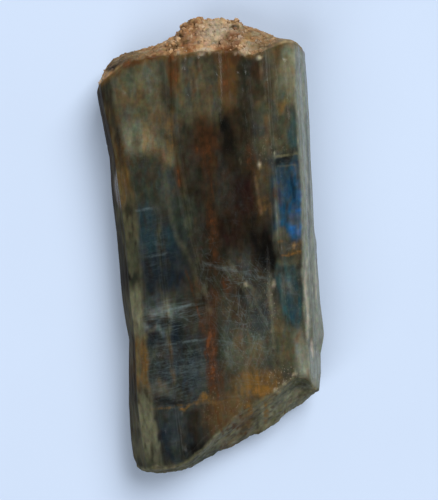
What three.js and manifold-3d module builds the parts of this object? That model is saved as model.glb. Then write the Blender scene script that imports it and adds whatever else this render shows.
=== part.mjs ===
// A single kyanite crystal, lying on one of its two broad faces.
//
// The crystal is a thick blade made of plates that grew side by side: a long panel on each side of a
// seam, and a narrow strip along the right edge. Long bevels join the broad faces to the thin sides.
// One end is a slanting, lumpy crust of iron-stained rock that grew onto the blade, and the other is a
// slanting break that steps from lath to lath. All of it grew together, so it is one solid.
//
// Millimetres. +Y runs along the blade towards the crust, +X across it and +Z up, out of the broad
// face that shows. The origin lies under the middle of the crystal, on the surface that it rests on.
import * as THREE from "three";
import { ConvexGeometry } from "three/addons/geometries/ConvexGeometry.js";
import { ImprovedNoise } from "three/addons/math/ImprovedNoise.js";
import { mergeVertices } from "three/addons/utils/BufferGeometryUtils.js";
import Module from "manifold-3d";

const wasm = await Module();
wasm.setup();

// ---- Driving dimensions ----------------------------------------------------------------------

const THICKNESS = 9; // from the face it rests on to the face that shows
const LOFT_END = 31; // the blade is lofted past both ends, and the ends are then cut
const STATION_STEP = 2.1;
const STEP_GAP = 0.25; // two depths closer together than this along the blade make a step
const PARTING_Y = -18.3; // a crack across the blade, below which the face leans down a little
const PARTING_DROP = 0.12;
const PARTING_LEAN = 0.06;

// Lines along the blade, as [y, x]: its two silhouettes, the upper edges of its bevels and the seam
// between the two halves of the face that shows.
const LEFT_SIDE = [
  [-27.4, -10.2], [-26.4, -10.9], [-24, -11.4], [-19, -11.3], [-13.5, -10.9], [-10.7, -10.7],
  [-6, -11.1], [2, -11.15], [7, -11.4], [11, -11.3], [15.4, -11.8], [18.5, -12.15], [24, -12.3],
];
const RIGHT_SIDE = [
  [-19, 11.65], [-17.7, 11.75], [-16.4, 12.05], [-14, 12.2], [-11.8, 12.75], [-8, 12.55], [-1, 12.7],
  [0.6, 12.55], [11, 12.9], [15, 13.05], [20, 13.1], [24, 13],
];
const LEFT_BEVEL = [
  [-25, -7.7], [-22, -8.1], [-17.4, -8.5], [-10.9, -8.6], [-5.6, -8.5], [0.2, -8.4], [6.1, -8.7],
  [12.1, -9.5], [18, -10.3], [24, -10.5],
];
const RIGHT_BEVEL = [
  [-19, 10.7], [-12.4, 10.6], [-6, 10.7], [0, 11.1], [5.1, 11.5], [10.4, 11.5], [17.5, 11.6], [24, 12],
];
const SEAM = [
  [-24.6, 0.7], [-15.7, -0.3], [-6.2, -0.9], [2.1, -2.2], [8, -2.9], [13.9, -3.3], [18.6, -3.1], [25, -2.6],
];

// The panels of the two broad faces, from left to right. Each has its right-hand edge, as [y, x], and
// the depth that it lies below the face's highest panel, as [y, depth]. Two points that are close
// together along y make a step where a plate broke off short.
const FRONT_PANELS = [
  {
    edge: [[-25, -5.2], [-10, -5.6], [5, -5.9], [14, -7], [25, -7.4]],
    depth: [[-25, 0.2], [-12.6, 0.22], [-12.4, 0.34], [4.4, 0.34], [4.6, 0.24], [10, 0.28], [24, 0.3]],
  },
  {
    edge: SEAM,
    depth: [[-25, 0.12], [-9.1, 0.1], [-8.9, 0.18], [0, 0.16], [6, 0.2], [10, 0.22], [24, 0.24]],
  },
  {
    edge: [[-25, 3.4], [-10, 3.1], [4, 2.2], [12, 2.4], [25, 3.2]],
    depth: [[-25, 0.04], [0, 0], [24, 0]],
  },
  {
    edge: [[-20, 5.9], [-6, 6.6], [0, 6.8], [8, 5.6], [25, 5.2]],
    depth: [[-22, 0.1], [-13, 0.13], [-5.1, 0.14], [-4.9, 0.03], [13, 0.02], [25, 0.1]],
  },
  {
    edge: [[-19, 8.9], [-5.8, 8.5], [-1.1, 8.2], [10.7, 8.3], [24, 8.6]],
    depth: [[-20, 0.2], [-12, 0.18], [-2, 0.14], [0, 0.06], [9, 0.04], [20, 0.08]],
  },
  {
    depth: [
      [-19, 0.24], [-10.6, 0.24], [-10.4, 0.36], [-3.6, 0.34], [-3.4, 0.22], [-1.1, 0.22], [-0.9, 0.36],
      [8.8, 0.34], [9, 0.2], [16, 0.18], [24, 0.16],
    ],
  },
];
const BACK_PANELS = [
  {
    edge: [[-27, -6.6], [0, -6.1], [24, -7]],
    depth: [[-27, 0.75], [-9.1, 0.6], [-8.9, 0.25], [6, 0.3], [6.2, 0.7], [24, 0.65]],
  },
  {
    edge: [[-27, -2.4], [-5, -3.2], [24, -2.2]],
    depth: [[-27, 0.3], [-18.1, 0.32], [-17.9, 0], [11.9, 0], [12.1, 0.4], [24, 0.4]],
  },
  { edge: [[-27, 4.6], [24, 5.3]], depth: [[0, 0]] },
  {
    edge: [[-27, 8.2], [0, 8.8], [24, 8.1]],
    depth: [
      [-27, 0.5], [-12.1, 0.55], [-11.9, 0.2], [3, 0.22], [3.2, 0], [15, 0], [15.2, 0.45], [24, 0.4],
    ],
  },
  { depth: [[-27, 0.9], [-3.1, 0.8], [-2.9, 0.5], [9.9, 0.45], [10.1, 0.95], [24, 1]] },
];

// The plates whose edges make the two thin sides, from the bottom up. Each has its upper edge, as
// [y, z], and how far it is set back from the silhouette, as [y, depth].
const LEFT_PLATES = [
  {
    edge: [[-27, 1.5], [24, 1.7]],
    depth: [[-27, 1.1], [-11, 1.2], [-10.8, 0.8], [5, 0.8], [5.2, 1.4], [24, 1.4]],
  },
  {
    edge: [[-27, 3.1], [24, 2.8]],
    depth: [[-27, 0.6], [-3, 0.5], [-2.8, 0.95], [16, 0.9], [16.2, 0.4], [24, 0.4]],
  },
  { depth: [[0, 0]] },
];
const RIGHT_PLATES = [
  {
    edge: [[-20, 1.9], [24, 1.7]],
    depth: [[-20, 0.9], [-6.1, 1], [-5.9, 1.5], [8, 1.4], [8.2, 0.8], [24, 0.9]],
  },
  {
    edge: [[-20, 3.3], [24, 3.6]],
    depth: [[-20, 0.5], [1.9, 0.45], [2.1, 0.95], [13, 0.9], [13.2, 0.5], [24, 0.55]],
  },
  { depth: [[0, 0]] },
];
const LEFT_WIDEST = 5.1; // the height of the silhouette on each side, where the bevel starts
const RIGHT_WIDEST = 5.5;
const LOWER_BEVELS = { left: 2.4, right: 2, height: 0.8 }; // how far they reach in and up
const LEFT_CROWN = { across: 0.48, up: 0.62, out: 0.12 }; // the ridge that rounds the left bevel
const CLIFF = 0.16; // how far a step between two panels leans
const WANDER = { panel: 0.12, side: 0.08, length: 3 }; // how far the long edges stray from their lines

// The crusted end, as [x, y]: where its slope leaves the face that shows, and its highest line.
const CRUST_FOOT = [
  [-12.5, 17.5], [-11.2, 19.4], [-10.1, 20.7], [-9.1, 21.5], [-8.2, 22], [-6.4, 22.3], [-3.5, 22.4],
  [-2.3, 22.1], [-1.1, 22.3], [1.2, 22.6], [2.4, 22.4], [4.7, 22], [7, 21.6], [8.6, 22.4], [10.4, 23],
  [11.5, 23], [12.2, 22.4], [13.2, 20.9],
];
const CRUST_CREST = [
  [-12.5, 18], [-11.9, 20.6], [-11, 22.3], [-10, 23.3], [-7.8, 24], [-5.3, 24.5], [-4.1, 24.7],
  [-3.1, 25.1], [-2.2, 25.6], [-1.4, 26.5], [-0.8, 27.2], [3.6, 27.1], [4.5, 26.8], [5.3, 26.3],
  [6.9, 26], [7.8, 25.6], [8.8, 25], [10, 24.2], [11.3, 23.9], [12.1, 23.6], [12.7, 23.1], [13.2, 21.3],
];
const CRUST_RISE = 5.4; // how far below the face the crest lies
const CRUST_UNDERCUT = 2;
const CRUST_ROUGH = { height: 0.42, length: 2.1, atFoot: 0.3 };
const CRUST_BUMPY = [[-5, 0.5], [-2.5, 1], [6.5, 1], [9.5, 0.25]]; // [x, share]: smooth on the shoulders
const CRUST_LUMPS = {
  from: -2.5, to: 8.8, pitch: 1.42, rows: 5, narrowing: 0.35,
  radius: 1.05, variety: 0.32, jitter: 0.35, sunk: 0.5, stretch: [1.15, 0.8, 1],
  smallFrom: 6.5, small: 0.7,
};
const STONE = { rough: 0.17, chipPoints: 26, lumpPoints: 15 }; // the shapes of the chips and lumps

// The broken end, as [x, y]: its edge on the face that shows, and its furthest line.
const BREAK_EDGE = [
  [-12, -24.6], [-9, -25.6], [-6.7, -25.9], [-4.3, -25.2], [-2.4, -23.5], [0.1, -21.4], [2.5, -19.4],
  [4.7, -18.5], [6.1, -17.9], [7.5, -17], [8.9, -16.1], [9.9, -16.6], [11, -17.6], [13, -18.6],
];
const BREAK_TIP = [
  [-12, -24.6], [-11, -26.2], [-9.8, -27], [-8.4, -27.2], [-4.8, -26.9], [-2.8, -25.9], [0.9, -24.7],
  [4.6, -23], [6.6, -21.9], [8, -20.9], [9.9, -19.8], [11.4, -18.9], [13, -17.8],
];
const BREAK_RISE = 5.2;
const BREAK_ROUGH = { height: 0.13, length: 2.3, atEdge: 0.35 };

// Laths that break off at different lengths make the steps of both ends.
const LATH = { width: 2.7, height: 1, crustStep: 0.2, breakStep: 0.18 };
const END_SHEET = { left: -14.5, right: 15.5, bottom: -1.3, top: 11, grid: 0.58 }; // wider than the blade

// Chips knocked out of the long edges: [x, y, z, radius, stretch along the blade].
const CHIPS = [
  [-12.7, 7.4, 7.9, 2.5, 1.9],
  [-10.9, 13.6, 9.6, 1.2, 2.2],
  [-12.9, -9.5, 5.4, 2.2, 1.4],
  [-8.9, -4.3, 9.6, 1, 1.6],
  [13.9, -2.1, 5.8, 1.4, 2.6],
  [12.7, 7.4, 9.5, 0.9, 3],
  [12.7, -18.7, 9.4, 1.5, 0.9],
  [-11.9, 21.2, 9.8, 1.8, 1],
  [-11.9, -14.5, 1.2, 1.2, 2.4],
  [13.3, 12.4, 1.6, 1.5, 2.6],
  [-9.4, -27.6, 9.4, 2.7, 1],
  [-6.4, -27.9, 2, 2.1, 1],
  [2.1, 27.8, 0.9, 2.4, 0.8],
];

// ---- Helpers ---------------------------------------------------------------------------------

const perlin = new ImprovedNoise();

/** The value at t on a chain of [t, value] pairs, held flat beyond both ends. */
function along(chain, t) {
  if (t <= chain[0][0]) return chain[0][1];
  for (let i = 1; i < chain.length; i++) {
    const [t0, v0] = chain[i - 1];
    const [t1, v1] = chain[i];
    if (t <= t1) return THREE.MathUtils.mapLinear(t, t0, t1, v0, v1);
  }
  return chain.at(-1)[1];
}

/** A repeatable number from -1 to 1 for a pair of numbers. */
function scatter(i, j) {
  const s = Math.sin(i * 127.1 + j * 311.7) * 43758.5453;
  return 2 * (s - Math.floor(s)) - 1;
}

/** Smooth noise from about -1 to 1, in two sizes of lump. */
function lumpy(x, y, size) {
  return perlin.noise(x / size, y / size, 3.7) + 0.5 * perlin.noise((2.3 * x) / size, (2.3 * y) / size, 8.1);
}

/** A three.js geometry as a solid that can be joined and cut. */
function solidOf(geometry) {
  const bare = new THREE.BufferGeometry().setAttribute("position", geometry.getAttribute("position"));
  bare.setIndex(geometry.index);
  const merged = mergeVertices(bare, 1e-4);
  return new wasm.Manifold(
    new wasm.Mesh({
      numProp: 3,
      vertProperties: new Float32Array(merged.attributes.position.array),
      triVerts: new Uint32Array(merged.index.array),
    }),
  );
}

/** A solid as a three.js geometry. */
function geometryOf(solid) {
  const mesh = solid.getMesh();
  const geometry = new THREE.BufferGeometry();
  geometry.setAttribute("position", new THREE.BufferAttribute(mesh.vertProperties, 3));
  geometry.setIndex(new THREE.BufferAttribute(mesh.triVerts, 1));
  return geometry;
}

/** A closed geometry from rings of points with the same count, and triangles that close the end rings. */
function closedGeometry(rings, startCap, endCap) {
  const count = rings[0].length;
  const index = [];
  for (let r = 0; r + 1 < rings.length; r++) {
    for (let k = 0; k < count; k++) {
      const a = r * count + k;
      const b = r * count + ((k + 1) % count);
      index.push(a, b + count, b, a, a + count, b + count);
    }
  }
  const last = (rings.length - 1) * count;
  for (const [a, b, c] of startCap) index.push(a, b, c);
  for (const [a, b, c] of endCap) index.push(last + a, last + c, last + b);
  const geometry = new THREE.BufferGeometry().setFromPoints(rings.flat());
  geometry.setIndex(index);
  return geometry;
}

// ---- The blade -------------------------------------------------------------------------------

/** How far the face that shows lies below its full height. */
function faceDrop(y) {
  return y < PARTING_Y ? PARTING_DROP + PARTING_LEAN * (PARTING_Y - y) : 0;
}

/** Both edges of each panel or plate across the blade at y, as [position, depth] pairs. */
function row(pieces, start, end, y) {
  let from = start;
  return pieces.flatMap(({ edge, depth }, k) => {
    const stray = WANDER.panel * perlin.noise(y / WANDER.length, 5.3 * k, 0.5);
    const to = edge ? along(edge, y) + stray : end;
    const pair = [[from, along(depth, y)], [to - CLIFF, along(depth, y)]];
    from = to;
    return pair;
  });
}

/** One of the blade's silhouettes at y. */
function side(chain, seed, y) {
  return along(chain, y) + WANDER.side * perlin.noise(y / WANDER.length, seed, 0.5);
}

/** The blade's outline at y, as [x, z] pairs, from the lower left corner round by the right side. */
function section(y) {
  const left = side(LEFT_SIDE, 2.5, y);
  const right = side(RIGHT_SIDE, 7.5, y);
  const bevel = along(LEFT_BEVEL, y);
  const top = THICKNESS - faceDrop(y);
  const crown = [
    THREE.MathUtils.lerp(left, bevel, LEFT_CROWN.across) - LEFT_CROWN.out,
    THREE.MathUtils.lerp(LEFT_WIDEST, top, LEFT_CROWN.up),
  ];
  const { height } = LOWER_BEVELS;
  return [
    ...row(BACK_PANELS, left + LOWER_BEVELS.left, right - LOWER_BEVELS.right, y),
    ...row(RIGHT_PLATES, height, RIGHT_WIDEST, y).map(([z, inset]) => [right - inset, z]),
    ...row(FRONT_PANELS, bevel, along(RIGHT_BEVEL, y), y).map(([x, drop]) => [x, top - drop]).reverse(),
    crown,
    ...row(LEFT_PLATES, height, LEFT_WIDEST, y).map(([z, inset]) => [left + inset, z]).reverse(),
  ];
}

/** The places along the blade to take an outline at: evenly spaced ones, and both sides of each step. */
function stations() {
  const list = [PARTING_Y - 0.1, PARTING_Y + 0.1];
  for (const { depth } of [FRONT_PANELS, BACK_PANELS, LEFT_PLATES, RIGHT_PLATES].flat()) {
    for (let i = 1; i < depth.length; i++) {
      if (depth[i][0] - depth[i - 1][0] < STEP_GAP) list.push(depth[i - 1][0], depth[i][0]);
    }
  }
  const steps = [...list];
  for (let y = -LOFT_END; y <= LOFT_END; y += STATION_STEP) {
    if (steps.every((step) => Math.abs(y - step) > STATION_STEP / 3)) list.push(y);
  }
  return [...new Set(list)].sort((a, b) => a - b);
}

/** The blade as a loft of its outlines, longer than the crystal at both ends. */
function blade() {
  const ys = stations();
  const outlines = ys.map(section);
  const rings = outlines.map((outline, i) => outline.map(([x, z]) => new THREE.Vector3(x, ys[i], z)));
  const cap = (outline) => THREE.ShapeUtils.triangulateShape(outline.map((p) => new THREE.Vector2(...p)), []);
  return solidOf(closedGeometry(rings, cap(outlines[0]), cap(outlines.at(-1))));
}

// ---- The two ends ----------------------------------------------------------------------------

/** How far up or down the lath at (x, z) breaks off, from -1 to 1. */
function lathStep(x, z, seed) {
  const row = Math.floor(z / LATH.height);
  return scatter(Math.floor(x / LATH.width + 0.5 * row) + seed, row);
}

/** Where the crust's surface lies along the blade. */
function crustY(x, z) {
  const rise = THREE.MathUtils.clamp((THICKNESS - z) / CRUST_RISE, 0, 1);
  const slope = THREE.MathUtils.lerp(along(CRUST_FOOT, x), along(CRUST_CREST, x), Math.pow(rise, 0.8));
  const undercut = CRUST_UNDERCUT * Math.pow(Math.max(0, THICKNESS - CRUST_RISE - z) / THICKNESS, 0.8);
  const { height, length, atFoot } = CRUST_ROUGH;
  const rough = height * lumpy(x, z, length) + LATH.crustStep * lathStep(x, z, 3);
  return slope - undercut + rough * along(CRUST_BUMPY, x) * Math.min(1, atFoot + 1.3 * rise);
}

/** Where the broken end's surface lies along the blade. */
function breakY(x, z) {
  const rise = THREE.MathUtils.clamp((THICKNESS - z) / BREAK_RISE, 0, 1);
  const slope = THREE.MathUtils.lerp(along(BREAK_EDGE, x), along(BREAK_TIP, x), rise);
  const { height, length, atEdge } = BREAK_ROUGH;
  const rough = height * lumpy(x, z, length) + LATH.breakStep * lathStep(x, z, 11);
  return slope + rough * Math.min(1, atEdge + rise);
}

/** The space beyond a rough end: a solid from surface(x, z) out past the blade's lofted end. */
function beyond(surface, outwards) {
  const xs = [];
  const zs = [];
  for (let x = END_SHEET.left; x <= END_SHEET.right; x += END_SHEET.grid) xs.push(x);
  for (let z = END_SHEET.bottom; z <= END_SHEET.top; z += END_SHEET.grid) zs.push(z);
  const far = outwards * (LOFT_END + 5);
  const near = xs.flatMap((x) => zs.map((z) => new THREE.Vector3(x, surface(x, z), z)));
  const points = [...near, ...near.map((p) => new THREE.Vector3(p.x, far, p.z))];
  const at = (sheet, i, j) => (sheet * xs.length + i) * zs.length + j;
  const index = [];
  const quad = (a, b, c, d) => (outwards > 0 ? index.push(a, b, c, a, c, d) : index.push(a, c, b, a, d, c));
  const top = zs.length - 1;
  const right = xs.length - 1;
  for (let i = 0; i < right; i++) {
    for (let j = 0; j < top; j++) {
      quad(at(0, i, j), at(0, i + 1, j), at(0, i + 1, j + 1), at(0, i, j + 1));
      quad(at(1, i, j), at(1, i, j + 1), at(1, i + 1, j + 1), at(1, i + 1, j));
    }
    quad(at(0, i, 0), at(1, i, 0), at(1, i + 1, 0), at(0, i + 1, 0));
    quad(at(0, i, top), at(0, i + 1, top), at(1, i + 1, top), at(1, i, top));
  }
  for (let j = 0; j < top; j++) {
    quad(at(0, 0, j), at(0, 0, j + 1), at(1, 0, j + 1), at(1, 0, j));
    quad(at(0, right, j), at(1, right, j), at(1, right, j + 1), at(0, right, j + 1));
  }
  const geometry = new THREE.BufferGeometry().setFromPoints(points);
  geometry.setIndex(index);
  return solidOf(geometry);
}

// ---- Chips and lumps --------------------------------------------------------------------------

/** A many-sided stone shape of the given radius, the same each time for one seed. */
function stone(radius, seed, points) {
  const cloud = [];
  for (let k = 0; k < points; k++) {
    const height = 1 - (2 * (k + 0.5)) / points;
    const turn = k * Math.PI * (3 - Math.sqrt(5)) + seed;
    const ring = Math.sqrt(1 - height * height);
    const reach = radius * (1 + STONE.rough * scatter(seed, k));
    const point = new THREE.Vector3(ring * Math.cos(turn), height, ring * Math.sin(turn));
    cloud.push(point.multiplyScalar(reach));
  }
  return new ConvexGeometry(cloud);
}

/** The space of one chip. */
function chip([x, y, z, radius, stretch], seed) {
  const shape = stone(radius, seed + 40, STONE.chipPoints);
  shape.scale(1, stretch, 1);
  return solidOf(shape.translate(x, y, z));
}

/** One lump of the crust, sunk into its slope at (x, z). */
function lump(x, z, size, seed) {
  const shape = stone(size, seed, STONE.lumpPoints);
  shape.scale(...CRUST_LUMPS.stretch);
  const y = crustY(x, z) - CRUST_LUMPS.sunk * size;
  return solidOf(shape.translate(x, y, Math.min(z, THICKNESS - size)));
}

/** The lumps of the crust, in rows that climb its slope. */
function crustLumps() {
  const { from, to, pitch, rows, narrowing, radius, variety, jitter, smallFrom, small } = CRUST_LUMPS;
  const lumps = [];
  for (let row = 0; row < rows; row++) {
    const start = from + (row % 2) * 0.5 * pitch;
    for (let place = start; place <= to - narrowing * row; place += pitch) {
      const seed = Math.round(10 * place) + 100 * row;
      const x = place + jitter * scatter(seed, 1);
      const z = THICKNESS - CRUST_RISE * ((row + 0.6) / rows) + jitter * scatter(seed, 2);
      const size = radius * (1 + variety * scatter(seed, 3)) * (place > smallFrom ? small : 1);
      lumps.push(lump(x, z, size, seed));
    }
  }
  return lumps;
}

// ---- The crystal -----------------------------------------------------------------------------

function crystal() {
  const gaps = [beyond(crustY, 1), beyond(breakY, -1), ...CHIPS.map(chip)];
  const cut = gaps.reduce((solid, gap) => solid.subtract(gap), blade());
  return crustLumps().reduce((solid, stone) => solid.add(stone), cut);
}

const geometry = geometryOf(crystal());
geometry.computeBoundingBox();
const middle = geometry.boundingBox.getCenter(new THREE.Vector3());
geometry.translate(-middle.x, -middle.y, -geometry.boundingBox.min.z);
geometry.computeVertexNormals();

const kyanite = new THREE.MeshStandardMaterial({ color: 0x4c5449, roughness: 0.45, metalness: 0 });
const mesh = new THREE.Mesh(geometry, kyanite);
mesh.name = "kyanite_crystal";

const group = new THREE.Group();
group.add(mesh);
export default group;
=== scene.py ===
"""A kyanite crystal: a blade of dark blue-green plates stained by rust, with a crusted and a broken end."""
import itertools
import math

import bpy
import numpy as np
from bpy.props import FloatProperty, FloatVectorProperty, IntProperty, PointerProperty
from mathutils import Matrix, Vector
from mathutils.bvhtree import BVHTree


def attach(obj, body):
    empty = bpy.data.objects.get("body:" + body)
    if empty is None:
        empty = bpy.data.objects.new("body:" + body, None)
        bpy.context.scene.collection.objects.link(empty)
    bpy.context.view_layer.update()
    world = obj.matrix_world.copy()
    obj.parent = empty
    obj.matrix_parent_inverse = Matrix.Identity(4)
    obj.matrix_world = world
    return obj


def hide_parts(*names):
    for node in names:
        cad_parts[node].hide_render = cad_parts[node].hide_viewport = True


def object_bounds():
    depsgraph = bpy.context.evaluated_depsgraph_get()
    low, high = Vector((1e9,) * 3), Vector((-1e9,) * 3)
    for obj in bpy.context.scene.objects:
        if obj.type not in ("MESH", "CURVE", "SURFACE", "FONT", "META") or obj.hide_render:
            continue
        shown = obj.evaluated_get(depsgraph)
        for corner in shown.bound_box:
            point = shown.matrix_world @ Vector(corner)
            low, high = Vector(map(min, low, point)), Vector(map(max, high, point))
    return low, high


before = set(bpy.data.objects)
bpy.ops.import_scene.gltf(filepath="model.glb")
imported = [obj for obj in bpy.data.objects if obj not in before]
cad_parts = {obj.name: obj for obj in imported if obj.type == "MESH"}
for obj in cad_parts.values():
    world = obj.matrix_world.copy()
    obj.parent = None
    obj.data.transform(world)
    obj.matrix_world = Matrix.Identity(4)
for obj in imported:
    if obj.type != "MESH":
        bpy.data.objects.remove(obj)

bl_info = {
    "name": "Kyanite crystal",
    "version": (1, 0, 0),
    "blender": (4, 5, 0),
    "location": "3D View > Sidebar > Kyanite",
    "description": "Builds a kyanite crystal with its crusted end, its finish and a plain stage",
    "category": "Add Mesh",
}

CAD_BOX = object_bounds()
NODE = "kyanite_crystal"
# Places and sizes below are millimetres in the frame, unless a comment says otherwise: +Y to the crust and +Z
# up out of the face that shows. MM turns them into metres.
MM = 0.001
BOX_CORNERS = [np.array(corner) / MM for corner in CAD_BOX]
AIM = (0.53, -0.9, 5.0)  # what the camera looks straight down at
CAMERA_DISTANCE = 166.7  # from the camera to that point
LEAN = math.radians(4.5)  # how far the crystal leans in the frame


def srgb(red, green, blue):
    """A colour picked on screen, from 0 to 255, as the linear values that Blender mixes."""
    parts = [channel / 255 for channel in (red, green, blue)]
    return tuple(c / 12.92 if c <= 0.04045 else ((c + 0.055) / 1.055) ** 2.4 for c in parts)


# ---- Settings that a user would change -------------------------------------------------------

def length(name, description, default):
    return FloatProperty(
        name=name, description=description, default=default, min=0, unit="LENGTH", precision=5)


def colour(name, description, *channels):
    return FloatVectorProperty(
        name=name, description=description, default=srgb(*channels), size=3, min=0, max=1, subtype="COLOR")


class CrystalSettings(bpy.types.PropertyGroup):
    """The crystal's surface and the colours of its plates and stains"""

    cell: length("Cell", "Size of the cells that the surface is remeshed in, across the blade", 0.153 * MM)
    ridges: length("Ridges", "Height of the lengthwise cleavage ridges", 0.022 * MM)
    ledges: length("Ledges", "Height of the low ledges between laths", 0.045 * MM)
    edge_wear: length("Edge wear", "How far sharp edges are worn back", 0.16 * MM)
    crust_lumps: length("Crust lumps", "Height of the knobs in the crust", 0.3 * MM)
    splinters: length("Splinters", "Depth of the splintered break", 0.1 * MM)
    loam: colour("Loam", "Dark olive-brown under the other colours", 48, 44, 31)
    olive: colour("Olive", "Grey-green of the plates", 73, 70, 50)
    sage: colour("Sage", "Paler grey-green", 94, 91, 67)
    mist: colour("Mist", "Palest grey-green, where light comes through", 120, 119, 96)
    moss: colour("Moss", "Dark green of the plates", 40, 47, 36)
    slate: colour("Slate", "Blue-grey of the plates", 51, 58, 59)
    sea: colour("Sea", "Dark blue-green of the plates", 28, 44, 48)
    navy: colour("Navy", "Blue-black of the plates", 20, 28, 34)
    umber: colour("Umber", "Brown-black in the middle of the blade", 32, 25, 15)
    soot: colour("Soot", "Near black", 8, 8, 6)
    maroon: colour("Maroon", "Red-black stain", 33, 17, 13)
    chestnut: colour("Chestnut", "Red-brown stain", 60, 35, 16)
    blue: colour("Blue", "The blue window by the right edge", 20, 60, 86)
    azure: colour("Azure", "Brightest part of the blue window", 30, 80, 126)
    lagoon: colour("Lagoon", "Dark part of the windows", 22, 48, 60)
    teal: colour("Teal", "The green-blue window", 30, 60, 62)
    rust: colour("Rust", "Iron stain along the seams", 112, 62, 26)
    ochre: colour("Ochre", "Dull yellow-brown stain", 98, 72, 32)
    amber: colour("Amber", "Yellow-brown stain", 132, 88, 34)
    veil: colour("Veil", "Pale cracks and healed fractures", 120, 138, 140)
    bone: colour("Bone", "Warm white of bruised and broken edges", 178, 166, 142)
    # Bevel is painted light: a pale colour that stands in for the sky's reflection and for light through the
    # thin edge.
    bevel: colour("Bevel", "Pale grey-green of the right bevel", 120, 124, 110)
    tan: colour("Tan", "Bare crust between its grains", 178, 140, 98)


class CrustSettings(bpy.types.PropertyGroup):
    """The grains of the rock that grew onto the crystal's end"""

    count: IntProperty(name="Grains", description="Number of grains in the crust", default=800, min=0)
    smallest: length("Smallest", "Radius of the finest grains", 0.1 * MM)
    largest: length("Largest", "Radius of the coarsest grains", 0.34 * MM)
    tan: colour("Tan", "Most of the grains", 178, 135, 90)
    cream: colour("Cream", "Pale grains", 212, 182, 143)
    ginger: colour("Ginger", "Iron-stained grains", 168, 98, 46)
    brown: colour("Brown", "Darker stained grains", 100, 66, 40)
    grey: colour("Grey", "Grey grains", 96, 92, 80)
    # White grains are partly quartz and partly painted glints: the crust's sparkle laid on as colour.
    white: colour("White", "Quartz grains", 232, 220, 202)


class StageSettings(bpy.types.PropertyGroup):
    """The floor, the lights and the camera"""

    floor: colour("Floor", "Pale blue floor", 196, 211, 233)
    distance: length("Distance", "From the camera to the middle of the crystal", CAMERA_DISTANCE * MM)
    lens: FloatProperty(
        name="Lens", description="Focal length", default=100, min=1, subtype="DISTANCE_CAMERA")
    roll: FloatProperty(
        name="Roll", description="How far the crystal leans in the frame", default=LEAN, subtype="ANGLE")


# ---- Noise on the mesh -----------------------------------------------------------------------

LOWEST_BITS = 0xFFFFFFFF  # keeps numbers to 32 bits
FACTORS = (73856093, 19349663, 83492791)  # large odd numbers, one for each of a cell's three
SEED_FACTOR, SEED_START = 2654435761, 97  # what spreads the seeds
MIX_FACTOR, MIX_START, FOLD = np.uint64(1103515245), np.uint64(12345), np.uint64(15)  # what mixes the bits
KNOB_STEEPNESS, KNOB_POWER = 1.6, 0.6  # how knobs rise from their grooves: a power below 1 makes them full
# The layers of a wander: how much finer each is than the first, and its share of the reach.
OCTAVES = (1, 1.0), (2, 0.5), (4, 0.35)

# Noise in layers, each with its strength, its size across, along and through the blade (or one size for all
# three), and its seed.
LAYERS = {
    "laths": [(1, (1.5, 34, 0.7), 5), (0.4, (0.6, 17, 0.5), 6)],
    "ridges": [(1, (0.42, 15, 0.42), 7), (0.5, (0.2, 6, 0.2), 8)],
    "pits": [(1, (0.5, 1.1, 0.5), 9)],
    "worn edges": [(1, (0.9, 1.6, 0.9), 10)],
    "splinters": [(1, (0.9, 5, 0.34), 12), (0.5, (0.4, 3, 0.2), 13)],
    "bands": [(1, (1.6, 22, 1.6), 110)],
    "hollows": [(1, (3.5, 9, 3), 111), (0.4, (1.2, 5, 1.2), 112)],
    "veins": [(1, (1.8, 15, 1.4), 113)],
    "bevel streaks": [(1, (0.3, 4, 0.6), 114)],
    "bevel flecks": [(1, (0.25, 0.8, 0.4), 115)],
    "break flecks": [(1, (0.35, 0.5, 0.3), 116), (0.6, 0.9, 117)],
    # Seeds kept elsewhere are added to those of the next three.
    "clouds": [(0.5, (0.9, 2.2, 1), 0), (0.4, (0.4, 0.8, 0.4), 9)],
    "hues": [(1, (0.9, 2.0, 0.9), 0), (0.7, (0.4, 0.7, 0.4), 20)],
    "crust hues": [(1, (0.9, 0.7, 0.9), 0), (0.7, 0.35, 20)],
}
# Wanders of places: the size of the noise, how far it reaches and its seed.
WANDERS = {
    "broad": ((2.6, 5, 3), (0.28, 0.4, 0.4), 50),
    "ragged": ((0.7, 1.8, 1), (0.14, 0.35, 0.25), 70),
    "wavy": ((1.4, 3.2, 2), (0.2, 0.2, 0.2), 90),
    "little": ((0.3, 0.4, 0.3), 0.12, 100),
}


def scatter(cells, seed):
    """A repeatable number from 0 to 1 for each row of three whole numbers."""
    mixed = np.full(len(cells), (seed * SEED_FACTOR + SEED_START) & LOWEST_BITS, np.uint64)
    for column, factor in zip(cells.T, FACTORS):
        mixed ^= (column.astype(np.int64) * factor).astype(np.uint64) & np.uint64(LOWEST_BITS)
        mixed = (mixed * MIX_FACTOR + MIX_START) & np.uint64(LOWEST_BITS)
        mixed ^= mixed >> FOLD
    return mixed.astype(float) / LOWEST_BITS


def smooth_noise(places, size, seed):
    """Noise from -1 to 1 at each place. size is how large its lumps are, one number for each axis."""
    scaled = places / np.asarray(size, float)
    corner = np.floor(scaled)
    blend = scaled - corner
    blend = blend * blend * (3 - 2 * blend)
    total = np.zeros(len(places))
    for step in itertools.product((0, 1), repeat=3):
        weight = np.where(step, blend, 1 - blend).prod(axis=1)
        total += weight * scatter(corner + step, seed)
    return 2 * total - 1


def layered(places, name, seed=0):
    """The noise of that name, added up from its layers. seed is added to theirs."""
    return sum(share * smooth_noise(places, size, own + seed) for share, size, own in LAYERS[name])


def knobs(places, size, seed):
    """Rounded knobs packed side by side, from 0 in the grooves between them to 1 on top."""
    scaled = places / size
    corner = np.floor(scaled)
    nearest = np.full(len(places), np.inf)
    second = np.full(len(places), np.inf)
    for step in itertools.product((-1, 0, 1), repeat=3):
        cell = corner + step
        spot = cell + np.column_stack([scatter(cell, seed + axis) for axis in range(3)])
        away = np.linalg.norm(scaled - spot, axis=1)
        second = np.minimum(second, np.maximum(nearest, away))
        nearest = np.minimum(nearest, away)
    return np.clip((second - nearest) * KNOB_STEEPNESS, 0, 1) ** KNOB_POWER


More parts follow.
